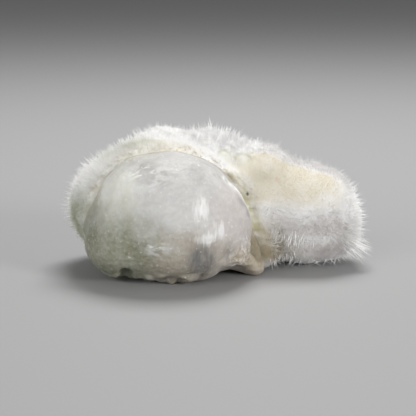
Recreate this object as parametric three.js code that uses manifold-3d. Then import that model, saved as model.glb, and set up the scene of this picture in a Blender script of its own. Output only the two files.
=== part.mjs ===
// An okenite specimen: white balls of hair-fine needles grown together round a smooth milky
// nodule. Millimetres, +Z up, +X to the right and +Y to the back. The origin is at the middle
// of the outline on the surface that the specimen rests on.
//
// Both solids are wrapped on a few overlapping ellipsoids ("lobes"). The nodule stays smooth.
// Every facet of the puffballs is raised to a point, so that the solid is covered in spines
// which reach as far as the needles do.

import * as THREE from "three";
import { mergeVertices } from "three/addons/utils/BufferGeometryUtils.js";
import Module from "manifold-3d";

const wasm = await Module();
wasm.setup();

// ---- Driving dimensions -------------------------------------------------------------------

const PLACE = [-1.74, 3.28, 0]; // from the lobes' own middle to the middle of the outline

// The balls of needles, as felt surfaces without their spines: centre and radii.
const PUFF_LOBES = [
  { name: "left ball", at: [-12.6, 2, 10.4], r: [12.8, 12, 10.5] },
  { name: "crown, left", at: [-8.2, 2.5, 14.8], r: [8.6, 9.5, 10.3] },
  { name: "crown, right", at: [0.4, 2.5, 14.3], r: [9, 9, 10.4] },
  { name: "saddle", at: [8.8, 2.2, 12.6], r: [8.8, 9.2, 9.9] },
  { name: "right ball", at: [17.7, 1.8, 9.4], r: [10.4, 10.4, 9.6] },
  { name: "right heel", at: [22.4, -1, 6.2], r: [5, 5.2, 4.8] },
  { name: "collar", at: [-8.6, -6.6, 12.2], r: [16.2, 9.6, 11.6] },
  { name: "back ball", at: [3.6, 8.2, 7.8], r: [9.4, 8.2, 7.9] },
  { name: "bridge", at: [9.6, -5.4, 6.2], r: [3.9, 4.6, 6] },
];
const PUFF_HEART = [1.5, 2.6, 10.5]; // middle of the bar that the facets are thrown out from
const PUFF_BAR = 14; // half length of that bar, along X
const PUFF_BLEND = 1.3; // sharpness of the creases between the balls, per mm
const PUFF_EDGE = 3.35; // longest side of a facet, and so of a spine's foot

// The nodule: one broad dome, a fuller right flank, a belly that it rests on, a lobe low on the
// left that stays clear of the ground, and an apron on the right that runs out to a toe.
const NODULE_LOBES = [
  { name: "dome", at: [-6.9, -12.9, 12.0], r: [12.8, 11.7, 10.8] },
  { name: "right flank", at: [-3, -12.5, 9.6], r: [10.6, 10.6, 8.5] },
  { name: "belly", at: [-5.6, -14.2, 6.2], r: [10.6, 9.2, 5.9] },
  { name: "low left lobe", at: [-15.4, -15.2, 6.8], r: [6.4, 6.8, 5.6] },
  { name: "left flank", at: [-12.8, -14.6, 9], r: [8.3, 8, 7.2] },
  { name: "apron", at: [3.2, -11.8, 5.3], r: [5.4, 6.2, 3.8] },
  { name: "heel", at: [6.6, -10.8, 3.6], r: [2.6, 3.4, 3.3] },
  { name: "toe", at: [8.2, -10.1, 1.5], r: [2, 2.2, 1.6] },
];
const NODULE_HEART = [-7, -12, 9];
const NODULE_BLEND = 1.2;
const NODULE_EDGE = 2.9;

const SOCKET_GAP = 0.35; // between the nodule and the socket that the puffballs leave for it
const SOCKET_EDGE = 3.4;

const WRAP_DETAIL = 3; // subdivisions of the icosahedron that every wrap starts from

const SPINE_LONG = 1.7; // on the top, the left end and the back
const SPINE_WORN = 0.6; // along the crown on the left, and low on the left end
const SPINE_ROOF = 0.9; // on the roof of the right ball
const SPINE_HEEL = 2.8; // low on the right end
const SPINE_MATTED = 0.8; // on the matted front
const SPINE_CRUSHED = 0.15; // where the balls rest
const SPINE_LEAN = 0.28; // how far a spine leans off square, as a share of its length
const SPINE_SHARE = [0.7, 1.2]; // shortest and longest share of the length for its place

const GROUND_WIDTH = 200;
const GROUND_DEPTH = 40;

const MILKY_STONE = 0xcfcdc6;
const NEEDLE_WHITE = 0xe9e6da;

// ---- Lobed surfaces -----------------------------------------------------------------------

const FAR = 45; // longer than any ray from a heart to the surface
const MARCH_STEPS = 90;
const BISECTIONS = 16;

// Rough distance in mm from a point to a smooth union of ellipsoids, negative inside.
function lobeDistance(point, lobes, blend) {
  let sum = 0;
  for (const { at, r } of lobes) {
    const q = [0, 1, 2].map((i) => (point[i] - at[i]) / r[i]);
    const reach = Math.hypot(...q);
    const slope = Math.hypot(q[0] / r[0], q[1] / r[1], q[2] / r[2]);
    const distance = (reach * (reach - 1)) / Math.max(slope, 1e-6);
    sum += Math.exp(-blend * Math.min(Math.max(distance, -FAR), FAR));
  }
  return -Math.log(sum) / blend;
}

// Where the ray from a start point leaves the lobes for the last time.
function lastCrossing(start, way, inside) {
  const on = (t) => start.map((s, i) => s + way[i] * t);
  let low = 0;
  for (let k = 1; k <= MARCH_STEPS; k++) {
    const t = (FAR * k) / MARCH_STEPS;
    if (inside(on(t))) low = t;
  }
  let high = low + FAR / MARCH_STEPS;
  for (let k = 0; k < BISECTIONS; k++) {
    const middle = (low + high) / 2;
    if (inside(on(middle))) low = middle;
    else high = middle;
  }
  return on((low + high) / 2);
}

// A three.js geometry as shared vertices and faces.
function sharedFaces(geometry) {
  geometry.deleteAttribute("normal");
  geometry.deleteAttribute("uv");
  const { attributes, index } = mergeVertices(geometry, 1e-4);
  const vertices = [];
  for (let i = 0; i < attributes.position.count; i++)
    vertices.push(new THREE.Vector3().fromBufferAttribute(attributes.position, i));
  const faces = [];
  for (let i = 0; i < index.count; i += 3)
    faces.push([index.getX(i), index.getX(i + 1), index.getX(i + 2)]);
  return { vertices, faces };
}

// The sides that are longer than an edge, longest first, each with the two faces that share it.
function longSides(vertices, faces, edge) {
  const sides = new Map();
  faces.forEach((face, k) =>
    face.forEach((a, i) => {
      const b = face[(i + 1) % 3];
      const key = Math.min(a, b) + " " + Math.max(a, b);
      if (!sides.has(key)) {
        const length = Math.hypot(...vertices[a].map((x, n) => x - vertices[b][n]));
        sides.set(key, { a, b, length, faces: [] });
      }
      sides.get(key).faces.push(k);
    }),
  );
  return [...sides.values()].filter((s) => s.length > edge).sort((p, q) => q.length - p.length);
}

// A closed skin on the lobes: a ball's points are thrown out onto them from a heart, or from
// along a bar, and then the longest sides are halved until none is longer than the edge.
function wrapLobes({ lobes, heart, bar = 0, blend, edge, grow = 0 }) {
  const inside = (p) => lobeDistance(p, lobes, blend) < grow;
  const ways = [];
  const vertices = [];
  const addVertex = (way) => {
    ways.push(way);
    const start = [heart[0] + bar * way.x, heart[1], heart[2]];
    return vertices.push(lastCrossing(start, way.toArray(), inside)) - 1;
  };
  const ball = sharedFaces(new THREE.IcosahedronGeometry(1, WRAP_DETAIL));
  ball.vertices.forEach(addVertex);
  let faces = ball.faces;
  for (let long = longSides(vertices, faces, edge); long.length; ) {
    const cut = new Set();
    const added = [];
    for (const { a, b, faces: shared } of long) {
      if (shared.some((k) => cut.has(k))) continue;
      const middle = addVertex(ways[a].clone().add(ways[b]).normalize());
      for (const k of shared) {
        cut.add(k);
        const third = faces[k].find((v) => v !== a && v !== b);
        const ahead = faces[k][(faces[k].indexOf(a) + 1) % 3] === b;
        const [p, q] = ahead ? [a, b] : [b, a];
        added.push([p, middle, third], [middle, q, third]);
      }
    }
    faces = faces.filter((_, k) => !cut.has(k)).concat(added);
    long = longSides(vertices, faces, edge);
  }
  return { vertices, faces };
}

// ---- Spines -------------------------------------------------------------------------------

// A repeatable number from 0 to 1 for a face and a use.
function chance(face, use) {
  const wave = Math.sin(face * 12.9898 + use * 78.233) * 43758.5453;
  return wave - Math.floor(wave);
}

// How long the spines are at a point of the felt surface.
function spineLength([x, y, z]) {
  const { lerp, smoothstep } = THREE.MathUtils;
  const roof = smoothstep(x, 11, 15) * smoothstep(z, 13, 16);
  const crown = smoothstep(x, -13, -9) * smoothstep(-x, 1, 5) * smoothstep(z, 20, 23);
  const lowLeft = smoothstep(-x, 14, 19) * smoothstep(-z, -9, -5);
  const heel = smoothstep(x, 20, 25) * smoothstep(-z, -10, -6);
  const front = smoothstep(-y, -1.5, 5) * (1 - heel);
  const under = smoothstep(-z, -3, -0.8);
  const top = lerp(lerp(SPINE_LONG, SPINE_ROOF, roof), SPINE_WORN, Math.max(crown, lowLeft));
  return lerp(lerp(lerp(top, SPINE_HEEL, heel), SPINE_MATTED, front), SPINE_CRUSHED, under);
}

// Each face becomes a three-sided spine.
function raiseSpines({ vertices, faces }) {
  const grown = [...vertices];
  const spines = [];
  faces.forEach((face, k) => {
    const [a, b, c] = face.map((v) => new THREE.Vector3(...vertices[v]));
    const middle = a.clone().add(b).add(c).divideScalar(3);
    const swing = [1, 2, 3].map((use) => 2 * SPINE_LEAN * (chance(k, use) - 0.5));
    const out = b.sub(a).cross(c.sub(a)).normalize().add(new THREE.Vector3(...swing)).normalize();
    const share = THREE.MathUtils.lerp(...SPINE_SHARE, chance(k, 4));
    const length = share * spineLength(middle.toArray());
    const tip = grown.push(middle.addScaledVector(out, length).toArray()) - 1;
    for (let i = 0; i < 3; i++) spines.push([face[i], face[(i + 1) % 3], tip]);
  });
  return { vertices: grown, faces: spines };
}

// ---- Solids and meshes --------------------------------------------------------------------

function solidOf({ vertices, faces }) {
  return new wasm.Manifold(
    new wasm.Mesh({
      numProp: 3,
      vertProperties: new Float32Array(vertices.flat()),
      triVerts: new Uint32Array(faces.flat()),
    }),
  );
}

// The space under the surface that the specimen rests on.
function groundSolid() {
  const block = new THREE.BoxGeometry(GROUND_WIDTH, GROUND_WIDTH, GROUND_DEPTH);
  const { vertices, faces } = sharedFaces(block.translate(0, 0, -GROUND_DEPTH / 2));
  return solidOf({ vertices: vertices.map((v) => v.toArray()), faces });
}

// The named mesh of a solid, without any crumb that a cut left loose.
function meshOf(solid, name, look) {
  const body = solid.decompose().sort((a, b) => b.volume() - a.volume())[0];
  const { vertProperties, triVerts } = body.getMesh();
  const geometry = new THREE.BufferGeometry();
  geometry.setAttribute("position", new THREE.BufferAttribute(vertProperties, 3));
  geometry.setIndex(new THREE.BufferAttribute(triVerts, 1));
  geometry.computeVertexNormals();
  const mesh = new THREE.Mesh(geometry, new THREE.MeshStandardMaterial(look));
  mesh.name = name;
  return mesh;
}

const NODULE = { lobes: NODULE_LOBES, heart: NODULE_HEART, blend: NODULE_BLEND };
const PUFFS = { lobes: PUFF_LOBES, heart: PUFF_HEART, bar: PUFF_BAR, blend: PUFF_BLEND };

const ground = groundSolid();
const nodule = solidOf(wrapLobes({ ...NODULE, edge: NODULE_EDGE })).subtract(ground);
const socket = solidOf(wrapLobes({ ...NODULE, edge: SOCKET_EDGE, grow: SOCKET_GAP }));
const puffballs = solidOf(raiseSpines(wrapLobes({ ...PUFFS, edge: PUFF_EDGE })))
  .subtract(socket)
  .subtract(ground);

const specimen = new THREE.Group();
specimen.position.fromArray(PLACE);
specimen.add(
  meshOf(nodule, "nodule", { color: MILKY_STONE, roughness: 0.3, metalness: 0 }),
  meshOf(puffballs, "puffballs", { color: NEEDLE_WHITE, roughness: 0.95, metalness: 0 }),
);

export default specimen;
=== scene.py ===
"""Okenite puffballs grown round a milky nodule: the finish of the specimen.

Both solids of the frame are replaced by finer skins on the same lobes. The nodule is a waxy,
milky stone. The puffballs are a dense felt with hair-fine needles, each a closed mesh spike.
Lobes, lengths and places are in millimetres in the lobes' own frame; meshes are in metres.
"""

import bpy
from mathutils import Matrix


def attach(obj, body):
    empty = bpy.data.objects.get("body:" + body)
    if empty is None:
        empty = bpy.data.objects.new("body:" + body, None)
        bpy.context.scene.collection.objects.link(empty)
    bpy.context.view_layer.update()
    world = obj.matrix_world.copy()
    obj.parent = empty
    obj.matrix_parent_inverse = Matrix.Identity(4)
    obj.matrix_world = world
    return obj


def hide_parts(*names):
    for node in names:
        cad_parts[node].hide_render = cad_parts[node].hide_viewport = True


bl_info = {
    "name": "Okenite Puffballs",
    "version": (1, 0, 0),
    "blender": (4, 5, 0),
    "location": "View3D > Sidebar > Okenite",
    "description": "Dresses an okenite specimen with felt, needles and a milky nodule",
    "category": "Add Mesh",
}

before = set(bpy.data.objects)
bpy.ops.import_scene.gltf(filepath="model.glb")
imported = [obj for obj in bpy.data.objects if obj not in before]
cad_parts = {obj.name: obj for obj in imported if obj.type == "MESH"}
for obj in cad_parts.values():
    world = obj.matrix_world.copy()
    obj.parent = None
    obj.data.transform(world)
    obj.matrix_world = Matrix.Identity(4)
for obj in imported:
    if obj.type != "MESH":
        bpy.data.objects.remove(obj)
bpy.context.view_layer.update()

import math

import bmesh
import bpy
import numpy as np
from bpy.props import FloatProperty, FloatVectorProperty, IntProperty, PointerProperty
from mathutils import Vector
from mathutils.kdtree import KDTree

# ---- The specimen's form, in millimetres ----

MM = 0.001
PLACE = np.array([-1.74, 3.28, 0.0])  # from the lobes' own middle to the frame's origin

# Centre and radii of each ellipsoid.
PUFF_LOBES = [
    ((-12.6, 2, 10.4), (12.8, 12, 10.5)),  # left ball
    ((-8.2, 2.5, 14.8), (8.6, 9.5, 10.3)),  # crown, left
    ((0.4, 2.5, 14.3), (9, 9, 10.4)),  # crown, right
    ((8.8, 2.2, 12.6), (8.8, 9.2, 9.9)),  # saddle
    ((17.7, 1.8, 9.4), (10.4, 10.4, 9.6)),  # right ball
    ((22.4, -1, 6.2), (5, 5.2, 4.8)),  # right heel
    ((-8.6, -6.6, 12.2), (16.2, 9.6, 11.6)),  # collar
    ((3.6, 8.2, 7.8), (9.4, 8.2, 7.9)),  # back ball
    ((9.6, -5.4, 6.2), (3.9, 4.6, 6)),  # bridge
]
PUFF_HEART = (1.5, 2.6, 10.5)
PUFF_BAR = 14
PUFF_BLEND = 1.3

NODULE_LOBES = [
    ((-6.9, -12.9, 12.0), (12.8, 11.7, 10.8)),  # dome
    ((-3, -12.5, 9.6), (10.6, 10.6, 8.5)),  # right flank
    ((-5.6, -14.2, 6.2), (10.6, 9.2, 5.9)),  # belly
    ((-15.4, -15.2, 6.8), (6.4, 6.8, 5.6)),  # low left lobe
    ((-12.8, -14.6, 9), (8.3, 8, 7.2)),  # left flank
    ((3.2, -11.8, 5.3), (5.4, 6.2, 3.8)),  # apron
    ((6.6, -10.8, 3.6), (2.6, 3.4, 3.3)),  # heel
    ((8.2, -10.1, 1.5), (2, 2.2, 1.6)),  # toe
]
NODULE_HEART = (-7, -12, 9)
NODULE_BLEND = 1.2

SOCKET_DEPTH = 0.25  # how far the felt reaches into the nodule, so that no gap shows
SKIN_DETAIL = 7  # subdivisions of the ball that each skin starts from
SOCKET_DETAIL = 5
FAR = 45  # longer than any ray from a heart to the surface
MARCH_STEPS = 60
BISECTIONS = 14

# ---- Fields and noise ----


def ramp(value, low, high):
    """0 below low, 1 above high, smooth between."""
    t = np.clip((value - low) / (high - low), 0, 1)
    return t * t * (3 - 2 * t)


def fall(value, low, high):
    """1 below low, 0 above high, smooth between."""
    return ramp(-value, -high, -low)


def band(value, *edges):
    """1 between the two middle edges, 0 beyond the outer two, smooth between."""
    return ramp(value, *edges[:2]) * fall(value, *edges[2:])


def blob(points, centre, radii):
    """1 at a centre, falling smoothly to about a tenth at the radii."""
    q = (points - centre) / radii
    return np.exp(-2.2 * (q * q).sum(axis=1))


def patches(points, places):
    """The sum of blobs, each given by its centre, radii and strength."""
    return sum(strength * blob(points, centre, radii) for centre, radii, strength in places)


def ridge(value, middle, width):
    """1 where a value is at its middle, falling off over the width."""
    return np.exp(-(((value - middle) / width) ** 2))


def ripple(points, size, seed):
    """Smooth noise of about unit strength whose swellings are the given size apart."""
    draw = np.random.RandomState(seed)
    total = np.zeros(len(points))
    waves = 14
    for _ in range(waves):
        way = draw.normal(size=3)
        way *= 2 * math.pi / (size * draw.uniform(0.7, 1.5)) / np.linalg.norm(way)
        total += np.sin(points @ way + draw.uniform(0, 2 * math.pi))
    return total / math.sqrt(waves / 2)


def unit(vectors):
    """Each row scaled to a length of 1."""
    return vectors / np.maximum(np.linalg.norm(vectors, axis=1, keepdims=True), 1e-9)


def keep_above(points, height):
    """Lifts the points that lie lower than a height up to it."""
    points[:, 2] = np.maximum(points[:, 2], height)


def lobe_distance(points, lobes, blend):
    """Rough distance in mm to a smooth union of ellipsoids, negative inside."""
    total = np.zeros(len(points))
    for centre, radii in lobes:
        q = (points - centre) / radii
        reach = np.linalg.norm(q, axis=1)
        slope = np.linalg.norm(q / radii, axis=1)
        distance = reach * (reach - 1) / np.maximum(slope, 1e-6)
        total += np.exp(-blend * np.clip(distance, -FAR, FAR))
    return -np.log(total) / blend


def felt_distance(points):
    return lobe_distance(points, PUFF_LOBES, PUFF_BLEND)


def nodule_distance(points):
    return lobe_distance(points, NODULE_LOBES, NODULE_BLEND)


def outward(points, distance):
    """Unit normals that point away from a form, from its distance field."""
    step = 0.05
    sides = [distance(points + axis) - distance(points - axis) for axis in np.eye(3) * step]
    return unit(np.stack(sides, axis=1))


def wrap(distance, heart, bar, detail, grow=0.0):
    """Points and faces of a ball thrown out onto a form, from a heart or along a bar."""
    ball = bmesh.new()
    bmesh.ops.create_icosphere(ball, subdivisions=detail, radius=1)
    ways = np.array([v.co[:] for v in ball.verts])
    faces = np.array([[v.index for v in f.verts] for f in ball.faces])
    ball.free()
    starts = heart + np.outer(ways[:, 0] * bar, (1, 0, 0))

    def inside(t):
        return distance(starts + ways * t[:, None]) < grow

    low = np.zeros(len(ways))
    for k in range(1, MARCH_STEPS + 1):
        t = np.full(len(ways), FAR * k / MARCH_STEPS)
        low = np.where(inside(t), t, low)
    high = low + FAR / MARCH_STEPS
    for _ in range(BISECTIONS):
        middle = (low + high) / 2
        hit = inside(middle)
        low = np.where(hit, middle, low)
        high = np.where(hit, high, middle)
    return starts + ways * ((low + high) / 2)[:, None], faces


# ---- Meshes ----


def add_mesh(name, points, faces, masks=None, smooth=True):
    """A mesh object from arrays of millimetres, with a float attribute for each mask."""
    mesh = bpy.data.meshes.new(name)
    mesh.vertices.add(len(points))
    mesh.vertices.foreach_set("co", ((points + PLACE) * MM).ravel())
    mesh.loops.add(faces.size)
    mesh.loops.foreach_set("vertex_index", faces.ravel().astype(np.int32))
    mesh.polygons.add(len(faces))
    mesh.polygons.foreach_set("loop_start", np.arange(0, faces.size, 3, dtype=np.int32))
    mesh.polygons.foreach_set("use_smooth", np.full(len(faces), smooth))
    mesh.update(calc_edges=True)
    for mask, values in (masks or {}).items():
        add_mask(mesh, mask, values)
    piece = bpy.data.objects.new(name, mesh)
    bpy.context.scene.collection.objects.link(piece)
    return piece


def add_mask(mesh, name, values):
    layer = mesh.attributes.new(name, "FLOAT", "POINT")
    layer.data.foreach_set("value", np.asarray(values, dtype=np.float32))


def mesh_points(mesh):
    """A mesh's points in the lobes' frame, in millimetres."""
    flat = np.zeros(len(mesh.vertices) * 3)
    mesh.vertices.foreach_get("co", flat)
    return flat.reshape(-1, 3) / MM - PLACE


def mesh_triangles(mesh):
    mesh.calc_loop_triangles()
    flat = np.zeros(len(mesh.loop_triangles) * 3, dtype=np.int32)
    mesh.loop_triangles.foreach_get("vertices", flat)
    return flat.reshape(-1, 3)


def cut_away(piece, cutter):
    """The piece without what the cutter covers. The cutter is used up."""
    cut = piece.modifiers.new("socket", "BOOLEAN")
    cut.operation = "DIFFERENCE"
    cut.solver = "EXACT"
    cut.object = cutter
    bpy.context.view_layer.update()
    done = bpy.data.meshes.new_from_object(
        piece.evaluated_get(bpy.context.evaluated_depsgraph_get())
    )
    piece.modifiers.clear()
    piece.data = done
    bpy.data.objects.remove(cutter)


# ---- The felt: relief, stains and length of the needles ----

KNOBS = [  # centre, radii and height of the two small knobs above the nodule
    ((3.0, -4.8, 21.0), (1.7, 2.6, 1.8), 0.5),
    ((6.3, -4.3, 19.9), (2.2, 2.8, 2.1), 0.9),
]
HUMPS = [*KNOBS, ((18.5, -6, 3.2), (6.5, 3.6, 2.4), 0.7)]  # all smooth swellings of the felt
HOLLOWS = [  # centre, radii and depth, where the felt lies lower than the lobes do
    ((-17, -3, 21), (8, 9, 4), 0.4),
    ((3.5, 0, 23.5), (3.5, 8, 3), 0.6),
    ((9.5, 0, 22), (3, 7, 3), 0.45),
    ((20.5, 0, 17.5), (5, 8, 3.5), 0.75),
    ((27, 0, 12), (3, 7, 5), 0.7),
]
CREASE = np.array([(8.3, -3.4, 20.6), (11.2, -4.8, 18.4)])  # from the saddle to the right ball
CREASE_REACH = 13.5  # mm squared, a little short of the whole crease, so that it fades out

TAN_SPOT = ((10.8, -6, 17.4), (2.8, 4, 2))  # centre and radii
SPECK = (7.1, -8.4, 14.6)
SPECK_SIZE = (0.4, 0.8, 0.4)

FELT_PATCHES = {  # centre, radii and strength of the soft patches of each stain
    "cream": [((6, -5, 19), (4, 4, 3), 0.6), ((-10, -7, 23), (6, 4, 2.5), 0.35)],
    "ochre": [
        (*TAN_SPOT, 0.38),
        ((11, -10, 5), (4.7, 6.15, 6.71), 0.95),
        ((14.2, -7, 3.6), (3.4, 4, 2.6), 0.5),
    ],
    "crust": [(*TAN_SPOT, 0.75)],
    "olive": [
        ((-11, -7.5, 22.4), (4.5, 4, 2.2), 0.45),
        *((centre, radii, 0.35) for centre, radii, _ in KNOBS),
    ],
    # Patches of painted shade; the negative one is painted light that lifts the felt where it
    # lies in shadow.
    "shade": [
        ((21.2, -6, 3.9), (6.15, 5.59, 2.68), 0.95),
        ((22.2, -7.5, 10.8), (3.4, 4, 2.6), 0.15),
        ((20.8, -7, 8.4), (3.2, 4, 2), 0.3),
        ((15, -7.6, 6), (2.8, 4, 1.8), -0.3),
        ((-15, -9.7, 22.4), (3.5, 4, 2), 0.15),
    ],
    "lilac": [((-1.5, -2, 23.5), (3, 3, 2), -0.13)],
    "crumb": [((-4.5, -9, 22.6), (4, 3, 1.5), 0.5)],
    "rust": [(*TAN_SPOT, 0.12), ((12.6, -5.6, 16.8), (0.5, 1.5, 0.45), 1)],
    "speck": [(SPECK, SPECK_SIZE, 1.8), ((8.4, -8, 11.9), SPECK_SIZE, 0.4)],
}
BARE_PATCHES = [  # centre, radii and strength, where the felt is matted flat
    *((centre, radii, 0.8) for centre, radii, _ in HUMPS),
    ((5.5, -6, 18), (3.5, 3, 3), 0.8),
    ((10, -10, 5.5), (2.4, 4, 5), 1),
    (SPECK, (1.2, 1.5, 1.2), 2),
]


def waxy_patch(points):
    """1 on the smooth cream patch below the roof of the right ball."""
    x, y, z = points.T
    edge = 0.3 * ripple(points, 5, 31) + 0.15 * ripple(points, 2.2, 33)
    patch = ramp(z + edge, 11.2, 15) * band(x, 6.5, 9.5, 21.5, 26)
    return patch * fall(y - 0.2 * ripple(points, 1.6, 32), -2.4, -1.0)


def calm_places(points):
    """1 where the needles lie smooth: on the waxy patch and the humps."""
    humps = blob(points, (5.2, -5.5, 19), (4.6, 3.6, 3.4)) ** 0.6
    return np.clip(waxy_patch(points) + humps, 0, 1)


def on_crown(points):
    """1 on the white top, where the needles are tousled into tufts."""
    x, y, z = points.T
    top = ramp(z, 17, 21.5) * ramp(y, -7.5, -4) * ramp(x, -22, -14)
    return top * (1 - calm_places(points))


def swept_back(points):
    """1 on the left, where the needles lean away from the nodule."""
    x, y, z = points.T
    return fall(x, -12, -8) * fall(y, -3, 1) * ramp(z, 13, 17)


def rim_height(points):
    """Height in mm of the felt's soft rim round the nodule."""
    x, _, z = points.T
    return (0.8 + fall(z, 14, 18)) * fall(x, -12, -7) * ramp(z, 7, 11)


def felt_relief(points):
    """How far the felt stands out from its lobes, in mm."""
    x, y, z = points.T
    crown = on_crown(points)
    rise = 0.07 * ripple(points, 4.5, 41) * (1 - 0.7 * waxy_patch(points))
    rise += 0.015 * ripple(points, 1.1, 42)
    rise += crown * (0.1 * ripple(points, 2.4, 43) + 0.07 * ripple(points, 1.2, 44))
    rise += patches(points, HUMPS) - patches(points, HOLLOWS)
    start, end = CREASE
    along = np.clip((points - start) @ (end - start) / CREASE_REACH, 0, 1)
    from_crease = np.linalg.norm(points - start - np.outer(along, end - start), axis=1)
    rise -= 0.22 * ridge(from_crease, 0, 0.5)
    waist = ridge(z + 0.7 * ripple(points, 6, 45), 8.4, 1.3) * ramp(x, 13, 16) * fall(y, -5, -2)
    rise -= 0.3 * waist
    beside = nodule_distance(points)
    rise += rim_height(points) * ridge(beside, 0, 2.4)
    lip = ridge(beside, 0.4, 0.45) * ramp(z, 4, 8) * (1 - 0.55 * fall(x, -12, -8))
    return rise + lip * (0.16 + 0.14 * ripple(points, 1.8, 46) + 0.1 * ripple(points, 0.9, 47))


def left_seam(points):
    """1 on the bare strip of felt between the nodule and the brown line on the left."""
    x, _, z = points.T
    strip = fall(nodule_distance(points) + 0.3 * ripple(points, 1.6, 32), 1.3, 1.8)
    return strip * fall(x, -12, -8) * ramp(z, 11, 14)


def knob_rims(points):
    """Thin arcs over the tops of the two knobs, olive and cream with a little painted shade,
    that draw their outlines.
    """
    arcs = np.zeros(len(points))
    for centre, radii, _ in KNOBS:
        reach = np.linalg.norm((points - centre) / radii, axis=1)
        arcs += ridge(reach, 0.7, 0.18) * ramp(points[:, 2] - centre[2], -0.3, 0.8)
    return arcs


def finished_masks(points, drawn, table, uneven):
    """Masks from 0 to 1, of what is drawn and a table's soft patches, each made uneven."""
    masks = {}
    for name in drawn | table:
        mask = drawn.get(name, 0) + patches(points, table.get(name, ()))
        masks[name] = np.clip(mask * uneven.get(name, 1), 0, 1)
    return masks


def stain_masks(points):
    """How strongly each stain and each painted shade shows at points of the puffballs."""
    x, y, z = points.T
    wander = ripple(points, 5, 31)
    fine = ripple(points, 1.6, 32)
    beside = nodule_distance(points)
    rims = knob_rims(points)
    strip = left_seam(points)
    # The brown seam at the upper right of the nodule.
    seam_band = ridge(beside, 0.6, 1.1 + 0.8 * ramp(x, 4, 7)) * ramp(x, 1.5, 3)
    seam_band *= band(z, 12.5, 14, 18, 19.5)

    # The waxy patch, and a soft border over the top of the nodule.
    cream = waxy_patch(points) + 0.3 * rims
    cream += (0.35 + 0.15 * fine) * ridge(beside, 0.5, 1.1) * fall(x, -3, 0) * ramp(z, 12, 17)
    ochre = (0.75 - 0.3 * ramp(x, 4.5, 6.5)) * seam_band + 1.2 * strip * (1 - strip)
    crust = ridge(beside, 0.9, 1.0) * ramp(x, 5.5, 7) * band(z, 6, 9, 13, 15.5)

    # Low on the left, then thin felt on top of the left ball, along the nodule and at the end.
    olive = 0.75 * fall(x, -20, -15) * fall(z, 9, 17) * fall(y, -4, 2)
    olive *= 1 - 0.4 * fall(x, -24.5, -22.8) * fall(y, -7, -4)
    olive += 0.28 * fall(x, -13, -9.5) * ramp(z, 19.5, 21.5) * band(y, -10.5, -8, -4, -1.5)
    olive += 0.12 * fall(x, -12, -7) * fall(y, -6, -2) * fall(beside, 1, 5)
    olive += 0.3 * fall(x, -21, -17.5) * fall(z, 12, 16) * fall(y, -4, 2) + 0.05 * strip
    # Paler close to the nodule, low on the left: painted light that lifts the shade of the
    # crease.
    olive *= 1 - 0.6 * ridge(beside, 0, 2.2) * fall(z, 11, 14) * fall(x, -17, -14)

    # Painted shade: grey on the front of the right ball, deepest in the groove at its waist.
    shade = 0.08 + 0.2 * fall(z, 9, 14) - 0.2 * fall(z, 5, 7.5) + 0.4 * ridge(z, 8.2, 1.5)
    shade *= ramp(x, 9, 12) * (1 - 0.4 * ramp(x, 23, 25.5)) * fall(y, -5, -0.5)
    # The roof of the right ball, which takes painted shade.
    roof = ramp(y, -2.5, -0.5) * ramp(z, 12, 16)
    # Painted shade between the curls on the front of the crown, and along its top.
    lilac = 0.13 * ramp(z, 19, 21) * band(x, -9, -5, 9, 13) * ramp(y, -9, -7)
    lilac += 0.22 * ramp(z, 20.5, 22) * band(x, -6, -3, 8, 12) * ramp(y, -3, -0.5)
    crumb = ridge(beside, 0.3, 0.8) * ramp(z, 15, 19) * fall(x, 2, 5)
    drawn = {
        "cream": cream,
        "ochre": ochre,
        "crust": crust + 0.5 * seam_band,
        "olive": olive + 0.45 * rims,
        "shade": shade + 0.15 * rims + 0.36 * roof * ramp(x, 8, 12),
        "lilac": lilac + 0.15 * roof * ramp(x, 12, 16),
        "crumb": crumb * (1 - 0.8 * fall(x, -9, -5)),
    }
    uneven = {
        "cream": 1 + 0.15 * wander,
        "ochre": 1 + 0.2 * wander + 0.1 * fine,
        "crust": 1 + 0.3 * fine,
        "olive": 1 + 0.12 * wander,
        "shade": 0.95 + 0.06 * wander + 0.04 * fine,
    }
    return finished_masks(points, drawn, FELT_PATCHES, uneven)


def bare_places(points):
    """1 where the felt is matted flat so that hardly a needle stands: crust, humps and bulge."""
    beside = nodule_distance(points) + 0.25 * ripple(points, 2.5, 51)
    crust = 0.8 * ridge(beside, 0, 0.7) + ridge(beside, 0.4, 1.0) * ramp(points[:, 0], 1.5, 4)
    crust += 0.6 * left_seam(points)
    return np.clip(crust + patches(points, BARE_PATCHES), 0, 1)


def needle_length(points, fur):
    """Length in mm of the needles that stand at points of the felt."""
    x, y, z = points.T
    roof = ramp(x, 5, 10) * ramp(z, 13, 16)
    crown = band(x, -13, -9, -5, -1) * ramp(z, 20, 23)
    low_left = fall(x, -19, -14) * fall(z, 5, 9)
    heel = ramp(x, 20, 25) * fall(z, 6, 10)
    front = fall(y, -4, 1.5) * (1 - heel) * (1 - 0.8 * swept_back(points))
    under = np.maximum(fall(z, 0.8, 3), fall(z, 2.5, 4.5) * ramp(x, 15, 18))
    length = fur.length_long + (fur.length_roof - fur.length_long) * roof
    length += (fur.length_worn - length) * np.maximum(crown, low_left)
    length += (fur.length_heel - length) * heel * ramp(x, 21, 25)
    length += (fur.length_matted - length) * front
    return length / MM * (1 - 0.9 * under)


# ---- Needles ----


def scatter(points, faces, weight, count, draw):
    """Random places on a skin, more of them where the weight is higher."""
    a, b, c = points[faces[:, 0]], points[faces[:, 1]], points[faces[:, 2]]
    area = 0.5 * np.linalg.norm(np.cross(b - a, c - a), axis=1)
    chance = area * weight
    pick = draw.choice(len(faces), size=count, p=chance / chance.sum())
    u, v = draw.random_sample((2, count, 1))
    over = (u + v) > 1
    u = np.where(over, 1 - u, u)
    v = np.where(over, 1 - v, v)
    return a[pick] + (b[pick] - a[pick]) * u + (c[pick] - a[pick]) * v


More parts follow.
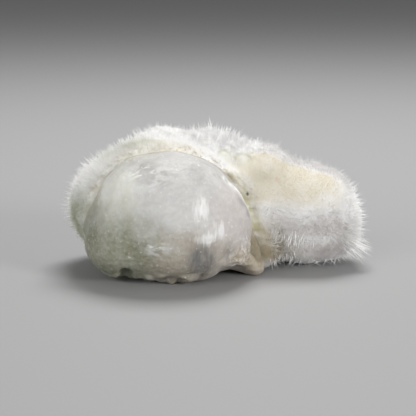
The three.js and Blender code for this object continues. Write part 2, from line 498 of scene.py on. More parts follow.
def spikes(roots, tips, radius, draw, waist=None):
    """Points and faces of one closed three-sided spike from each root to its tip.

    With a waist, each spike keeps its width up to that share of its length."""
    way = unit(tips - roots)
    helper = np.where(np.abs(way[:, 2:]) < 0.9, (0, 0, 1), (1, 0, 0))
    side = unit(np.cross(way, helper))
    other = np.cross(way, side)
    turn = draw.uniform(0, 2 * math.pi, len(roots))
    rings = [roots] if waist is None else [roots, roots + (tips - roots) * waist]
    corners = []
    for ring in rings:
        for k in range(3):
            angle = turn + k * 2 * math.pi / 3
            offset = side * np.cos(angle)[:, None] + other * np.sin(angle)[:, None]
            corners.append(ring + offset * radius[:, None])
    points = np.stack(corners + [tips], axis=1).reshape(-1, 3)
    pattern = [(0, 2, 1)]
    for k in range(3):
        near, far = k, (k + 1) % 3
        if waist is not None:
            pattern += [(near, far, far + 3), (near, far + 3, near + 3)]
            near, far = near + 3, far + 3
        pattern.append((near, far, len(corners)))
    base = np.arange(len(roots))[:, None, None] * (len(corners) + 1)
    return points, (base + np.array(pattern)).reshape(-1, 3)


NEEDLE_SEED = 101  # of the first region; the next ones count on from it
BOLD_SEED = 105
BOLD_WAIST = 0.7  # share of its length up to which a bold needle keeps its width
BOLD_STAIN = 0.2  # share of the stains that a bold needle takes on
NODULE_GAP = 0.12  # mm that the tips keep clear of the nodule
LOWEST_LEAN = 0.15  # how far up from the felt even a lying needle points
BOLD = [  # middle and spread of the roots, way, shortest and longest, how many
    ((25.6, -5.0, 5.4), (1.5, 2, 1.5), (0.90, -0.05, -0.7), 2.8, 5.4, 40),
    ((26.5, 0, 11), (3, 6, 9), (0.95, -0.1, 0.25), 0.9, 1.9, 90),
    ((0.7, 1.0, 24.4), (0.7, 0.7, 0.7), (-0.04, 0, 1), 2.6, 3.6, 3),
    ((4.5, 0.5, 23.4), (6.5, 3, 2.5), (0.28, 0, 0.95), 1.0, 2.4, 70),
    ((-14.5, -5, 22.8), (6, 2.5, 2.5), (-0.45, 0, 0.9), 0.9, 2.2, 170),
    ((-13, -3.5, 23.2), (2.5, 2, 1.5), (-0.5, 0, 0.85), 2.0, 3.4, 16),
    ((-21.5, -4.5, 17.5), (3.5, 3.5, 4), (-0.75, 0, 0.6), 0.7, 1.8, 90),
    ((-19.5, -4, 19.5), (2.2, 2.5, 2), (-0.6, 0, 0.75), 1.4, 2.6, 12),
    ((-24.8, -2, 11), (2, 4, 4), (-1, -0.1, 0.1), 0.7, 1.5, 90),
    ((4.7, -4.9, 19.6), (0.5, 1.5, 2.2), (0.1, -0.5, -0.85), 0.6, 1.3, 40),
    ((12, -8.6, 6.6), (1.5, 3, 1.4), (0.15, -0.45, 0.7), 0.9, 1.8, 26),
    ((16.2, -8, 6.4), (2.4, 3, 1.2), (-0.2, -0.5, -0.7), 0.9, 2.0, 34),
    ((22.6, -6.4, 7), (1.8, 3, 1.2), (0.3, -0.7, -0.4), 0.8, 1.6, 18),
    ((13.8, -6.6, 2.2), (2.4, 3, 1.2), (0.05, -0.45, -0.85), 0.7, 1.4, 36),
    ((10.9, -9.2, 5.2), (0.5, 1, 0.5), (0.86, -0.35, 0.45), 2.6, 2.9, 2),
]


def bold_needles(points, faces, draw):
    """Roots and tips of the long, bright needles that can be told apart."""
    centres = points[faces].mean(axis=1)
    roots, tips = [], []
    for middle, reach, way, shortest, longest, count in BOLD:
        root = scatter(points, faces, blob(centres, middle, reach), count, draw)
        lean = np.array(way) / np.linalg.norm(way) + 0.2 * draw.normal(size=(count, 3))
        lean = unit(lean + 0.3 * outward(root, felt_distance))
        roots.append(root - lean * 0.2)
        tips.append(root + lean * draw.uniform(shortest, longest, (count, 1)))
    roots, tips = np.concatenate(roots), np.concatenate(tips)
    keep_above(roots, 0.1)
    keep_above(tips, 0.05)
    return roots, tips


def nearest_hub(roots, hubs):
    """For each root, the nearest of the first few roots, which is the middle of its tuft."""
    tree = KDTree(hubs)
    for index, root in enumerate(roots[:hubs]):
        tree.insert(root, index)
    tree.balance()
    return np.array([tree.find(root)[1] for root in roots])


def grow_needles(points, faces, fur, region, draw):
    """Roots, tips, radii and tones of the needles of one region of the felt."""
    count = fur.count
    centres = points[faces].mean(axis=1)
    weight = region(centres) * (0.15 + 0.85 * ramp(centres[:, 2], 0.3, 3))
    weight *= 1 - 0.5 * ramp(centres[:, 1], 3, 7)
    weight *= (nodule_distance(centres) > 0) * (1 - 0.6 * bare_places(centres))
    roots = scatter(points, faces, weight, count, draw)
    out = outward(roots, felt_distance)
    bare = bare_places(roots)
    front = fall(roots[:, 1], -4, 1.5)
    sparkle = front * ramp(roots[:, 0], 9, 12) * fall(roots[:, 2], 6, 9)

    # Lengths: most are short, a few stand tall and a few lie down.
    share = 0.3 + 0.7 * draw.random_sample(count) ** 1.6
    length = needle_length(roots, fur) * share * (1 + 0.15 * ripple(roots, 2.6, 61))
    tall = draw.random_sample(count) < fur.tall_share
    length = np.where(tall, length * draw.uniform(1.3, 2.4, count) / share, length)
    calm = calm_places(roots)
    lying = draw.random_sample(count) < (0.02 + 0.04 * sparkle) * (1 - calm)
    length = np.where(lying, draw.uniform(0.7, 1.2, count) * (1 + sparkle), length)
    length = np.maximum(length * (1 - 0.6 * bare) * (1 - 0.4 * calm), 0.2)

    # Ways: out from the felt, tousled, and never into it.
    crown = on_crown(roots)
    swept = swept_back(roots)
    tousle = np.stack([ripple(roots, 1.7, s) for s in (71, 72, 73)], axis=1)
    tousle *= (0.12 * (1 - calm) + 0.18 * crown)[:, None]
    tousle += 0.9 * swept[:, None] * outward(roots, nodule_distance)
    lean = np.where(lying, 1.6, 0.2)[:, None]
    way = unit(out + tousle + lean * draw.normal(size=(count, 3)))
    into = (way * out).sum(axis=1, keepdims=True)
    way = unit(np.where(into < LOWEST_LEAN, way + out * (LOWEST_LEAN - into), way))

    # Tufts: each needle is pulled towards its hub, in way, tip and tone.
    hub = nearest_hub(roots, count // fur.tuft_size)
    felted = np.maximum(front * (1 - crown) * (1 - swept), calm)
    pull = np.where(tall | lying, 0, 0.35 + 0.15 * crown - 0.3 * felted)[:, None]
    way += (way[hub] - way) * pull
    tips = roots + (roots[hub] - roots) * pull + way * length[:, None]
    own, shared = draw.random_sample((2, count))
    tone = own + (shared[hub] - own) * (0.5 + 0.3 * crown)
    tone = np.where(tall | lying, 1, tone + 0.3 * felted + 0.4 * calm + 0.15 * swept)

    # Roots sit in the felt, and tips keep clear of the nodule and the floor.
    roots -= out * 0.1
    push = np.maximum(NODULE_GAP - nodule_distance(tips), 0)[:, None]
    tips += outward(tips, nodule_distance) * push
    keep_above(tips, 0.03)
    keep_above(roots, 0.05)
    thick = fur.thickness / MM / 2 * (0.7 + 0.35 * np.clip(length, 0, 2))
    thick *= np.where(tall | lying, 1.3, draw.uniform(0.8, 1.2, count))
    return roots, tips, thick, tone


# ---- Shader groups ----


def add_node(tree, kind, **settings):
    node = tree.nodes.new(kind)
    for name, value in settings.items():
        setattr(node, name, value)
    return node


def feed(tree, value, socket):
    """Links a socket, or sets a number or colour."""
    if isinstance(value, bpy.types.NodeSocket):
        tree.links.new(value, socket)
    else:
        socket.default_value = value


def mixed(tree, first, second, factor):
    mix = add_node(tree, "ShaderNodeMix", data_type="RGBA")
    for index, value in ((0, factor), (6, first), (7, second)):
        feed(tree, value, mix.inputs[index])
    return mix.outputs[2]


def maths(tree, operation, *values):
    node = add_node(tree, "ShaderNodeMath", operation=operation)
    for socket, value in zip(node.inputs, values):
        feed(tree, value, socket)
    return node.outputs[0]


def times(tree, first, second):
    return maths(tree, "MULTIPLY", first, second)


def largest(tree, first, *others):
    for value in others:
        first = maths(tree, "MAXIMUM", first, value)
    return first


def spread(tree, value, low, high, start=0.0, end=1.0):
    """A value from low to high, spread over start to end."""
    node = add_node(tree, "ShaderNodeMapRange")
    limits = {"From Min": low, "From Max": high, "To Min": start, "To Max": end}
    for label, number in limits.items():
        node.inputs[label].default_value = number
    tree.links.new(value, node.inputs["Value"])
    return node.outputs["Result"]


def mask_socket(tree, name):
    return add_node(tree, "ShaderNodeAttribute", attribute_name=name).outputs["Fac"]


def new_group(name, inputs, outputs):
    """A shader node group with its input and output nodes."""
    tree = bpy.data.node_groups.new(name, "ShaderNodeTree")
    for label, kind, value in inputs:
        socket = tree.interface.new_socket(label, in_out="INPUT", socket_type=kind)
        socket.default_value = value
    for label, kind in outputs:
        tree.interface.new_socket(label, in_out="OUTPUT", socket_type=kind)
    return tree, tree.nodes.new("NodeGroupInput"), tree.nodes.new("NodeGroupOutput")


def grain_group():
    """Fine speckle as a mask, in object space, drawn out along one way if wanted."""
    inputs = [
        ("Scale", "NodeSocketFloat", 900.0),
        ("Detail", "NodeSocketFloat", 4.0),
        ("Warp", "NodeSocketFloat", 0.0),
        ("Stretch", "NodeSocketVector", (1.0, 1.0, 1.0)),
    ]
    tree, entry, leave = new_group("Mineral grain", inputs, [("Mask", "NodeSocketFloat")])
    place = add_node(tree, "ShaderNodeTexCoord")
    shape = add_node(tree, "ShaderNodeVectorMath", operation="MULTIPLY")
    noise = add_node(tree, "ShaderNodeTexNoise")
    tree.links.new(place.outputs["Object"], shape.inputs[0])
    tree.links.new(entry.outputs["Stretch"], shape.inputs[1])
    tree.links.new(shape.outputs[0], noise.inputs["Vector"])
    for label, socket in (("Scale", "Scale"), ("Detail", "Detail"), ("Warp", "Distortion")):
        tree.links.new(entry.outputs[label], noise.inputs[socket])
    tree.links.new(noise.outputs["Fac"], leave.inputs["Mask"])
    return tree


GROWTH_LINE = 0.95  # mm from the felt to the line on the nodule that runs beside the seam
STAINS = ("Lilac", "Shade", "Cream", "Olive", "Crumb", "Crust", "Ochre", "Rust", "Speck")


def stain_group():
    """The puffballs' colour: white, with stains and painted shade from the masks that the meshes
    carry.
    """
    white = (1.0, 1.0, 1.0, 1.0)
    inputs = [(name, "NodeSocketColor", white) for name in ("White",) + STAINS]
    tree, entry, leave = new_group("Okenite stains", inputs, [("Color", "NodeSocketColor")])
    patchy = {
        "Lilac": spread(tree, add_grain(tree, 1000, 3), 0.42, 0.56, 1.0, 0.0),
        "Crumb": spread(tree, add_grain(tree, 1700, 3), 0.54, 0.6),
    }
    colour = entry.outputs["White"]
    for name in STAINS:
        mask = mask_socket(tree, name.lower())
        if name in patchy:
            mask = times(tree, mask, patchy[name])
        colour = mixed(tree, colour, entry.outputs[name], mask)
    tree.links.new(colour, leave.inputs["Color"])
    return tree


GROUPS = {"Mineral grain": grain_group, "Okenite stains": stain_group}


def place_group(tree, name, **values):
    """The output of a node group, which is made at its first use."""
    group = bpy.data.node_groups.get(name) or GROUPS[name]()
    node = add_node(tree, "ShaderNodeGroup", node_tree=group)
    for label, value in values.items():
        node.inputs[label].default_value = value
    return node.outputs[0]


def add_grain(tree, scale, detail, warp=0, stretch=(1, 1, 1)):
    values = {"Scale": scale, "Detail": detail, "Warp": warp, "Stretch": stretch}
    return place_group(tree, "Mineral grain", **values)


def new_material(name):
    material = bpy.data.materials.new(name)
    material.use_nodes = True
    tree = material.node_tree
    return material, tree, tree.nodes["Principled BSDF"]


def set_surface(tree, surface, **values):
    """Feeds inputs of the surface, which are named with _ for each space."""
    for label, value in values.items():
        feed(tree, value, surface.inputs[label.replace("_", " ")])


def add_bump(tree, surface, height, strength, distance):
    bump = add_node(tree, "ShaderNodeBump")
    bump.inputs["Strength"].default_value = strength
    bump.inputs["Distance"].default_value = distance * MM
    tree.links.new(height, bump.inputs["Height"])
    set_surface(tree, surface, Normal=bump.outputs["Normal"])


def fur_colour(tree, fur, gap):
    """The stained colour of the puffballs, with the painted shade of the gaps between tufts
    mixed in.
    """
    stains = {name: getattr(fur, name.lower()) for name in ("White",) + STAINS}
    stained = place_group(tree, "Okenite stains", **{k: (*v, 1) for k, v in stains.items()})
    return mixed(tree, stained, (*fur.gap, 1), gap)


def needle_material(fur):
    material, tree, surface = new_material("Okenite needles")
    # Needles of low tone take the painted shade of the gaps between tufts.
    gap = spread(tree, mask_socket(tree, "tone"), 0.0, 0.7, 0.4, 0.0)
    colour = fur_colour(tree, fur, gap)
    set_surface(tree, surface, Base_Color=colour, Roughness=0.45, Specular_IOR_Level=0.4)
    return material


def felt_material(fur):
    material, tree, surface = new_material("Okenite felt")
    # The felt under standing needles takes the painted shade of the gaps between tufts.
    gap = spread(tree, mask_socket(tree, "bare"), 0.1, 0.7, 0.45, 0.0)
    colour = fur_colour(tree, fur, gap)
    set_surface(tree, surface, Base_Color=colour, Roughness=0.85, Specular_IOR_Level=0.2)
    set_surface(tree, surface, Subsurface_Weight=0.6, Subsurface_Scale=0.0015)
    set_surface(tree, surface, Subsurface_Radius=(1.0, 0.95, 0.85))
    add_bump(tree, surface, add_grain(tree, 2600, 5), 0.5, 0.2)
    return material


def nodule_material(stone):
    material, tree, surface = new_material("Milky nodule")
    cloud = add_grain(tree, 230, 3, warp=0.6)
    mottle = add_grain(tree, 900, 5, warp=0.8)
    grain = add_grain(tree, 1900, 4)
    curls = add_grain(tree, 620, 5, warp=0.8, stretch=(0.4, 1, 1))
    folds = add_grain(tree, 1200, 3, warp=1.4, stretch=(1, 0.8, 0.8))
    streak = add_grain(tree, 1500, 3, warp=0.4, stretch=(1, 0.5, 0.16))

    def mask(name):
        return mask_socket(tree, name)

    def tint(colour, name, strength):
        return mixed(tree, colour, (*getattr(stone, name), 1), strength)

    colour = (*stone.milk, 1)
    for name in ("pink", "crest", "haze", "olive", "tan"):
        colour = tint(colour, name, mask(name))
    for speckle, low, high in ((cloud, 0.35, 0.8), (mottle, 0.4, 0.7), (grain, 0.3, 0.7)):
        colour = tint(colour, "frost_and_highlight", spread(tree, speckle, low, high, 0.0, 0.12))
    # The fibrous facet: its dark grey is a painted reflection, streaked by the fibres.
    fibres = times(tree, spread(tree, streak, 0.3, 0.65, 1.0, 0.6), mask("silk"))
    colour = tint(colour, "silk", fibres)
    # Painted glints on the crinkle's folds; tan in their low parts is partly the apron's tan and
    # partly painted shade.
    glint = times(tree, spread(tree, folds, 0.5, 0.58), mask("crinkle"))
    fold_shade = times(tree, spread(tree, folds, 0.3, 0.45, 0.7, 0.0), mask("crinkle"))
    colour = tint(colour, "tan", fold_shade)
    for name in ("stain", "flank"):
        colour = tint(colour, name, mask(name))

    seam = maths(tree, "ADD", mask("seam"), spread(tree, grain, 0.3, 0.7, -0.12, 0.12))
    ledge = maths(tree, "ABSOLUTE", maths(tree, "SUBTRACT", seam, GROWTH_LINE))
    ledge = times(tree, spread(tree, ledge, 0.02, 0.16, 0.8, 0.0), spread(tree, cloud, 0.4, 0.6))
    joint = spread(tree, cloud, 0.42, 0.52, 0.2, 1.0)
    joint = times(tree, spread(tree, seam, 0.4, 1.0, 0.7, 0.0), joint)
    line = times(tree, largest(tree, ledge, joint), mask("brim"))
    line = largest(tree, line, mask("fleck"))
    colour = tint(colour, "ledge", line)
    # Painted shadow in the crescent and the notch, in the facet's dark grey.
    shadow = times(tree, mask("crescent"), 0.45)
    colour = tint(colour, "silk", shadow)

    # Real wisps and grains, with painted highlights on the satin patches, glints, rim and edge.
    wisp = times(tree, spread(tree, curls, 0.5, 0.6, 0.0, 0.75), mask("wisp"))
    dots = times(tree, spread(tree, grain, 0.66, 0.72), 0.5)
    satin = maths(tree, "ADD", mask("satin"), spread(tree, streak, 0.3, 0.7, -0.4, 0.4))
    satin = spread(tree, satin, 0.35, 0.85, 0.0, 0.62)
    frost_and_highlight = largest(tree, wisp, dots, satin, times(tree, glint, 0.5), mask("rim"))
    colour = tint(colour, "frost_and_highlight", frost_and_highlight)
    depth = spread(tree, largest(tree, frost_and_highlight, line, shadow, fibres), 0.0, 0.8, 0.9, 0.15)
    set_surface(tree, surface, Base_Color=colour, Subsurface_Weight=depth)
    set_surface(tree, surface, Subsurface_Scale=0.004, Subsurface_Radius=(1.0, 0.92, 0.75))

    rough = spread(tree, grain, 0.3, 0.7, 0.48, 0.66)
    rough = maths(tree, "SUBTRACT", rough, times(tree, mask("satin"), 0.15))
    set_surface(tree, surface, Roughness=rough, IOR=1.54, Specular_IOR_Level=0.3)
    height = maths(tree, "ADD", grain, times(tree, streak, mask("silk")))
    height = maths(tree, "ADD", height, times(tree, glint, 2.0))
    add_bump(tree, surface, height, 0.35, 0.12)
    return material


# ---- Properties ----


def colour_property(name, description, value):
    return FloatVectorProperty(
        name=name, description=description, default=value, min=0, max=1, size=3, subtype="COLOR"
    )


def length_property(name, description, millimetres):
    return FloatProperty(
        name=name, description=description, default=millimetres * MM, min=0, unit="LENGTH"
    )


def power_property(name, description, watts):
    return FloatProperty(name=name, description=description, default=watts, min=0, unit="POWER")


class OkeniteFur(bpy.types.PropertyGroup):
    count: IntProperty(
        name="Needles", description="Needles of each region", default=48500, min=100, max=49900
    )
    length_long: length_property("Long", "Needles on the top, the left end and the back", 1.0)
    length_roof: length_property("Roof", "Needles on the roof of the right ball", 0.6)
    length_worn: length_property("Worn", "Needles along the crown and low on the left", 0.6)
    length_heel: length_property("Heel", "Needles low on the right end", 1.2)
    length_matted: length_property("Matted", "Needles on the matted front", 0.5)
    thickness: length_property("Thickness", "Width of a needle at its root", 0.06)
    bold: length_property("Bold", "Width of a long, bright needle", 0.1)
    tuft_size: IntProperty(name="Tuft", description="Needles of each tuft", default=9, min=1)
    tall_share: FloatProperty(
        name="Tall share", description="Share of needles that stand out of the rest",
        default=0.03, min=0, max=1, subtype="FACTOR",
    )
    white: colour_property("White", "Clean needles", (0.93, 0.925, 0.915))
    cream: colour_property("Cream", "Cream stain", (0.76, 0.70, 0.56))
    ochre: colour_property("Ochre", "Ochre stain", (0.35, 0.30, 0.21))
    # Painted shade between the curls of the crown.
    lilac: colour_property("Lilac", "Grains between the curls of the crown", (0.61, 0.59, 0.62))
    crumb: colour_property("Crumb", "Tan crumbs along the top of the nodule", (0.58, 0.52, 0.38))
    crust: colour_property("Crust", "Yellow-green crust along the nodule", (0.68, 0.66, 0.47))
    rust: colour_property("Rust", "Orange fleck", (0.66, 0.42, 0.19))
    speck: colour_property("Speck", "Dark specks beside the nodule", (0.05, 0.045, 0.04))
    olive: colour_property("Olive", "Green-grey, where the felt is thin", (0.51, 0.53, 0.40))
    # Painted shade in the gaps between the tufts.
    gap: colour_property("Gap", "Between the tufts", (0.66, 0.66, 0.65))
    # Painted shade, low and on the roof of the right ball and in the groove at its waist.
    shade: colour_property("Shade", "Grey, low on the right ball", (0.43, 0.393, 0.383))


class OkeniteNodule(bpy.types.PropertyGroup):
    milk: colour_property("Milk", "The nodule's own colour", (0.52, 0.515, 0.50))
    # Also the colour of the painted highlights: satin patches, glints, the pale rim and the
    # edge.
    frost_and_highlight: colour_property("Frost", "Wisps and grains on the skin", (0.86, 0.86, 0.85))
    # Painted shade that darkens the top, which the key light leaves too bright.
    crest: colour_property("Crest", "On the top", (0.375, 0.36, 0.344))
    haze: colour_property("Haze", "High on the left", (0.84, 0.84, 0.76))
    pink: colour_property("Pink", "Right flank", (0.52, 0.475, 0.455))
    olive: colour_property("Olive", "Low on the left", (0.20, 0.205, 0.13))
    tan: colour_property("Tan", "Along the bottom", (0.34, 0.29, 0.225))
    # Its dark grey is a painted reflection on the fibrous facet, and it also paints the
    # crescent's shadow.
    silk: colour_property("Silk", "Fibrous facet", (0.15, 0.148, 0.145))
    stain: colour_property("Stain", "Brown beside the right ball", (0.42, 0.355, 0.26))
    flank: colour_property("Flank", "Ochre on the flank of the toe", (0.30, 0.255, 0.175))
    ledge: colour_property("Ledge", "Growth lines inside the seam", (0.38, 0.34, 0.24))


class OkeniteStudio(bpy.types.PropertyGroup):
    key_power: power_property("Key", "Light from above", 1.8)
    fill_power: power_property("Fill", "Light from the front", 1.7)
    window_power: power_property("Window", "Soft light from the right", 1.6)
    sky: FloatProperty(name="Sky", description="Even light from all round", default=0.25, min=0)
    floor: colour_property("Floor", "Plain floor", (0.32, 0.32, 0.32))
    lens: FloatProperty(name="Lens", description="Focal length in mm", default=156.1, min=1)
    pitch: FloatProperty(
        name="Pitch", description="How far the camera looks down", default=math.radians(10.15),
        subtype="ANGLE", unit="ROTATION",
    )


# ---- Operators ----


def settle(piece, slot, *nodes):
    """Attaches a piece to the root body and hides the frame's parts that it replaces."""
    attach(piece, "root")
    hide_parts(*nodes)


# Places on the nodule, each with its centre and radii.
SATIN = [
    ((-1.1, -23.2, 14.5), (1.9, 3, 2.4)),
    ((-0.6, -23, 9.2), (3.3, 3, 1.5)),
    ((2.2, -22.5, 10.8), (1.0, 3, 1.7)),
]
SILK = ((-1.2, -22.3, 5.0), (2.7, 6, 3.4))
STREAK = ((3.6, -20.4, 6.0), (1.5, 4, 2.1))
CRINKLE = ((5.8, -16.5, 4.6), (4.8, 7, 5.0))
SCALLOPS = [  # centre, radii and height of the dents and drips along the bottom edge
    ((-14.5, -18.8, 1.9), (1.3, 4, 1.5), -4.2),
    ((-5.0, -19.6, 1.2), (0.9, 2, 1.2), -0.9),
    ((-3.1, -20, 1.0), (1.4, 2, 1.5), 0.6),
    ((-0.9, -19.5, 1.2), (0.9, 2, 1.2), -0.7),
    ((4.2, -16.5, 1.4), (3.8, 5, 2.1), -1.5),
    ((6.2, -13, 0.5), (3.0, 4.5, 2.0), -1.5),
]
SWELLINGS = [  # centre, radii and height of the nodule's own swellings and dents
    ((-15.5, -10, 18.5), (7, 6, 5), 0.25),
    ((-9.2, -24, 8.3), (2.2, 3, 2.2), 0.3),
    ((3.6, -13.8, 18.2), (4, 3, 3.2), -0.7),
    (*SILK, -0.4),
    (*STREAK, -0.25),
]
SEAM_REACH = 5  # mm from the felt, as far as the seam's mask tells the distance
FLECKS = [(2.1, -16.4, 19.0), (1.1, -17.2, 19.5), (-5.6, -18.1, 21.6), (-6.7, -18.3, 21.6)]
NODULE_PATCHES = {  # centre, radii and strength of the soft patches of each mask
    "tan": [((-4.4, -24.3, 9.4), (2.4, 3, 2.6), 0.48)],
    # Painted shade in the notch low at the left end.
    "crescent": [((-14.5, -17.5, 2.0), (1.0, 3, 1.3), 1.2)],
    "wisp": [
        ((-11, -19, 19.4), (6.5, 6, 2.8), 1),
        ((-9, -24, 8), (2.6, 3, 2.6), 1),
        # Painted glints, small highlights on the skin.
        ((-5.0, -23.5, 5.2), (1.1, 2, 0.4), 1.5),
        ((-9.7, -23.9, 8.3), (0.7, 2, 0.6), 1.5),
        ((-10.7, -22.3, 4.2), (0.5, 2, 0.4), 1.5),
        ((6.6, -17, 8.2), (1.2, 2, 0.5), 1.5),
    ],
    "stain": [
        ((8.2, -14.6, 5.8), (1.8, 4, 4), 0.35),
        ((5.6, -18, 4.6), (2.8, 4, 2.6), 0.6),
        ((8, -13, 2), (3.5, 5, 2.5), 0.6),
        ((7.2, -15.5, 3.2), (2.6, 4, 2.4), 0.45),
    ],
    "fleck": [(at, (0.32, 0.5, 0.32), 1) for at in FLECKS],
}


def nodule_masks(points):
    """How strongly each tint, finish, painted shade and painted highlight shows at points of the
    nodule.
    """
    x, _, z = points.T
    wander = ripple(points, 4, 11)
    fine = ripple(points, 1.4, 12)
    seam = felt_distance(points) - rim_height(points) + 0.18 * ripple(points, 2.2, 13)

    # Low on the left, and a thread beside the rim of the felt at the upper left.
    low_left = -0.55 * x - z + 0.7 * wander
    olive = ramp(low_left, -10, 0.5) * fall(x, -4, 3)
    olive *= 1 - 0.25 * fall(x, -18, -14.5) * ramp(z, 8, 12)
    olive += 0.18 * fall(seam + 0.3 * fine, 3.2, 3.9) * fall(x, -10, -6) * ramp(z, 17.5, 19.5)
    # Tan along the bottom, haze high on the left.
    tan = ramp(0.5 * wander - z - 1.8 * ramp(x, 0, 4), -12.5, -6) * ramp(x + wander, -13, -6)
    haze = ramp(z + 0.4 * wander, 8, 15) * fall(x - 0.4 * wander, -16, -10) * fall(z, 19.5, 22)
    # Painted shade in a grey crescent inside the seam on the right; painted highlights in a pale
    # rim inside the seam on the right and a pale edge at the left end.
    crescent = ridge(seam, 3.3, 0.8) * ramp(x, 4.5, 6) * band(z, 10.5, 12, 15, 17)
    rim = ridge(seam, 1.8, 0.35) * ramp(x, 1, 4) * ramp(z, 11, 13)
    edge = ridge(outward(points, nodule_distance)[:, 1], -0.1, 0.12) * fall(x, -17, -14)
    flank = ramp(x - 7.7 - 0.3 * np.abs(6.3 - z), -0.3, 0.7)
    drawn = {
        "brim": ramp(z, 8, 11) * (1 - 0.3 * fall(x, -12, -7)),
        # Painted shade that darkens the top.
        "crest": ramp(z + 0.5 * wander, 17, 22),
        "crescent": crescent,
        "haze": haze * (0.4 + 0.4 * ramp(seam, 0.5, 3)),
        "pink": 0.9 * ramp(x + 0.8 * wander, -4, 4) * fall(z, 15, 20),
        "olive": olive,
        "tan": 0.8 * tan,
        "silk": 1.8 * blob(points, *SILK) ** 0.7 + 0.5 * blob(points, *STREAK),
        "stain": 0.8 * fall(seam, 1.5, 4.5) * ramp(x, 5, 8) * band(z, 2, 4, 8, 12),
        "flank": flank * band(z, 1.6, 3.2, 6.5, 8.5),
        "crinkle": blob(points, *CRINKLE) * (1 + 0.3 * fine),
        "wisp": ridge(seam + 0.3 * fine, 3.7, 0.4) * fall(x, -12, -6) * ramp(z, 15, 18),
        # Painted highlights on the satin patches, beside their real gloss.
        "satin": sum(blob(points, *place) ** 0.7 for place in SATIN),
        # Painted highlights: the pale rim on the right and the pale edge at the left end.
        "rim": np.clip(rim * (0.65 + 0.3 * fine), 0, 0.9) + 0.3 * edge * fall(z, 7, 9),
    }
    masks = finished_masks(points, drawn, NODULE_PATCHES, {})
    return {"seam": np.clip(seam, 0, SEAM_REACH)} | masks


def nodule_relief(points):
    """How far the nodule's skin stands out from its lobes, in mm."""
    x, y, z = points.T
    seam = felt_distance(points)
    rise = 0.06 * ripple(points, 5, 21) + 0.02 * ripple(points, 0.9, 22)
    rise += 0.8 * ridge(seam - rim_height(points), 0.3, 1.2) * fall(x, -14, -9) * ramp(z, 5, 9)
    across = 0.93 * x - 0.37 * z + 0.35 * ripple(points, 3.5, 23)
    crinkle = np.abs(np.sin(across * math.pi / 1.5)) + ripple(points, 1.2, 24)
    rise += 0.17 * crinkle * blob(points, *CRINKLE)
    fibres = np.sin(x * 2 * math.pi / 0.62 + 1.2 * ripple(points, 3, 25))
    silky = blob(points, *SILK) + 0.5 * sum(blob(points, *place) for place in SATIN)
    rise += 0.03 * silky * fibres
    brim = ramp(z, 8, 11)
    rise += brim * (0.14 * ridge(seam, 0.35, 0.25) - 0.1 * ridge(seam, 0.8, 0.2))
    edge = fall(z, 1.2, 3.2) * fall(y, -16, -10)
    rise += edge * 0.22 * ripple(points, 1.9, 26)
    rise += patches(points, SWELLINGS) + patches(points, SCALLOPS)
    toe_flank = blob(points, (9.3, -12.4, 5.6), (2.6, 4.4, 3.4))
    return rise - 2.2 * ramp(seam, 0.3, 2.2) * toe_flank


class OKENITE_OT_nodule(bpy.types.Operator):
    """Make the milky nodule with its ledge, facet, crinkled apron and toe"""

    bl_idname = "okenite.nodule"
    bl_label = "Nodule"

    def execute(self, context):
        points, faces = wrap(nodule_distance, NODULE_HEART, 0, SKIN_DETAIL)
        masks = nodule_masks(points)
        points = points + outward(points, nodule_distance) * nodule_relief(points)[:, None]
        keep_above(points, 0)
        piece = add_mesh("nodule_skin", points, faces, masks)
        piece.data.materials.append(nodule_material(context.scene.okenite_nodule))
        settle(piece, "nodule", "nodule")
        return {"FINISHED"}


class OKENITE_OT_felt(bpy.types.Operator):
    """Make the matted felt of the puffballs, with the socket that holds the nodule"""

    bl_idname = "okenite.felt"
    bl_label = "Felt"

    def execute(self, context):
        points, faces = wrap(felt_distance, PUFF_HEART, PUFF_BAR, SKIN_DETAIL)
        points = points + outward(points, felt_distance) * felt_relief(points)[:, None]
        keep_above(points, 0)
        piece = add_mesh("felt", points, faces)
        socket = wrap(nodule_distance, NODULE_HEART, 0, SOCKET_DETAIL, -SOCKET_DEPTH)
        cut_away(piece, add_mesh("socket", *socket))
        skin = mesh_points(piece.data)
        for name, values in (stain_masks(skin) | {"bare": bare_places(skin)}).items():
            add_mask(piece.data, name, values)
        piece.data.polygons.foreach_set("use_smooth", np.ones(len(piece.data.polygons), bool))
        piece.data.materials.clear()
        piece.data.materials.append(felt_material(context.scene.okenite_fur))
        settle(piece, "needles", "puffballs")
        return {"FINISHED"}


REGIONS = {
    "needles_left": lambda p: (p[:, 0] < -10) & (p[:, 1] < 4),
    "needles_crown": lambda p: (p[:, 0] >= -10) & (p[:, 0] < 8) & (p[:, 1] < 4),
    "needles_right": lambda p: (p[:, 0] >= 8) & (p[:, 1] < 4),
    "needles_back": lambda p: p[:, 1] >= 4,
}


def add_needles(name, roots, tips, radius, masks, material, draw, waist=None):
    """A mesh of needles, with masks that are given for each root."""
    points, faces = spikes(roots, tips, radius, draw, waist)
    corners = len(points) // len(roots)
    masks = {mask: np.repeat(values, corners) for mask, values in masks.items()}
    piece = add_mesh(name, points, faces, masks, smooth=False)
    piece.data.materials.append(material)
    settle(piece, "needles", "puffballs")


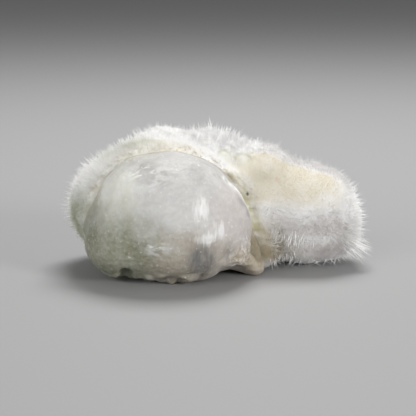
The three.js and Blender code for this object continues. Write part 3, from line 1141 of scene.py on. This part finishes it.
class OKENITE_OT_needles(bpy.types.Operator):
    """Grow the needles, one mesh for each region of the puffballs and one of bold needles"""

    bl_idname = "okenite.needles"
    bl_label = "Needles"

    def execute(self, context):
        fur = context.scene.okenite_fur
        material = needle_material(fur)
        felt = bpy.data.objects["felt"].data
        points, faces = mesh_points(felt), mesh_triangles(felt)
        for seed, (name, region) in enumerate(REGIONS.items(), start=NEEDLE_SEED):
            draw = np.random.RandomState(seed)
            roots, tips, radius, tone = grow_needles(points, faces, fur, region, draw)
            masks = stain_masks(roots) | {"tone": tone}
            add_needles(name, roots, tips, radius, masks, material, draw)
        draw = np.random.RandomState(BOLD_SEED)
        roots, tips = bold_needles(points, faces, draw)
        radius = np.full(len(roots), fur.bold / MM / 2)
        masks = {stain: BOLD_STAIN * mask for stain, mask in stain_masks(roots).items()}
        masks["tone"] = np.ones(len(roots))
        add_needles("needles_bold", roots, tips, radius, masks, material, draw, BOLD_WAIST)
        return {"FINISHED"}


MIDDLE = Vector((0, 0, 0.012))  # what the lights point at
LIGHTS = [  # name, place and size in metres
    ("key", (0.03, 0.22, 0.38), 0.20),
    ("fill", (-0.32, -0.52, 0.25), 0.40),
    ("window", (0.34, -0.38, 0.17), 0.14),
]
CAMERA = (0, -330.7, 69.7)  # in mm, in the lobes' own frame
FLOOR_HALF = 3.0  # metres from the middle of the floor to its sides


def add_light(context, name, place, size, power):
    """A square soft light that shines on the specimen."""
    light = bpy.data.lights.new(name, "AREA")
    light.size = size
    light.energy = power
    lamp = bpy.data.objects.new(name, light)
    lamp.location = place
    lamp.rotation_euler = (MIDDLE - Vector(place)).to_track_quat("-Z", "Y").to_euler()
    context.scene.collection.objects.link(lamp)


class OKENITE_OT_stage(bpy.types.Operator):
    """Set the floor, the lights and the camera"""

    bl_idname = "okenite.stage"
    bl_label = "Stage"

    def execute(self, context):
        studio = context.scene.okenite_studio
        mesh = bpy.data.meshes.new("floor")
        signs = [(-1, -1), (1, -1), (1, 1), (-1, 1)]
        corners = [(x * FLOOR_HALF, y * FLOOR_HALF, 0) for x, y in signs]
        mesh.from_pydata(corners, [], [(0, 1, 2, 3)])
        floor = bpy.data.objects.new("floor", mesh)
        context.scene.collection.objects.link(floor)
        material, tree, surface = new_material("Floor")
        set_surface(tree, surface, Base_Color=(*studio.floor, 1), Roughness=0.7)
        floor.data.materials.append(material)

        for name, place, size in LIGHTS:
            add_light(context, name, place, size, getattr(studio, f"{name}_power"))

        world = bpy.data.worlds.new("Studio")
        world.use_nodes = True
        sky = world.node_tree.nodes["Background"]
        sky.inputs["Color"].default_value = (1, 1, 1, 1)
        sky.inputs["Strength"].default_value = studio.sky
        context.scene.world = world
        context.scene.view_settings.view_transform = "Standard"
        context.scene.cycles.diffuse_bounces = 8

        lens = bpy.data.cameras.new("camera")
        lens.lens = studio.lens
        lens.sensor_width = 36
        lens.clip_start = 0.01
        camera = bpy.data.objects.new("camera", lens)
        camera.location = (np.array(CAMERA) + PLACE) * MM
        camera.rotation_euler = (math.pi / 2 - studio.pitch, 0, 0)
        context.scene.collection.objects.link(camera)
        context.scene.camera = camera
        return {"FINISHED"}


class OKENITE_PT_panel(bpy.types.Panel):
    """The specimen's pieces, in the order that they are made"""

    bl_idname = "OKENITE_PT_panel"
    bl_label = "Okenite"
    bl_space_type = "VIEW_3D"
    bl_region_type = "UI"
    bl_category = "Okenite"

    def draw(self, context):
        for group in SETTINGS:
            settings = getattr(context.scene, group)
            box = self.layout.box()
            for name in settings.bl_rna.properties.keys():
                if name not in ("rna_type", "name"):
                    box.prop(settings, name)
        for step in STEPS:
            self.layout.operator(step.bl_idname)


STEPS = (OKENITE_OT_nodule, OKENITE_OT_felt, OKENITE_OT_needles, OKENITE_OT_stage)
SETTINGS = {
    "okenite_fur": OkeniteFur,
    "okenite_nodule": OkeniteNodule,
    "okenite_studio": OkeniteStudio,
}
CLASSES = (*SETTINGS.values(), *STEPS, OKENITE_PT_panel)


def register():
    for kind in CLASSES:
        bpy.utils.register_class(kind)
    for name, kind in SETTINGS.items():
        setattr(bpy.types.Scene, name, PointerProperty(type=kind))


def unregister():
    for name in SETTINGS:
        delattr(bpy.types.Scene, name)
    for kind in reversed(CLASSES):
        bpy.utils.unregister_class(kind)


def main():
    register()
    bpy.ops.okenite.nodule()
    bpy.ops.okenite.felt()
    bpy.ops.okenite.needles()
    bpy.ops.okenite.stage()


if __name__ == "__main__":
    main()
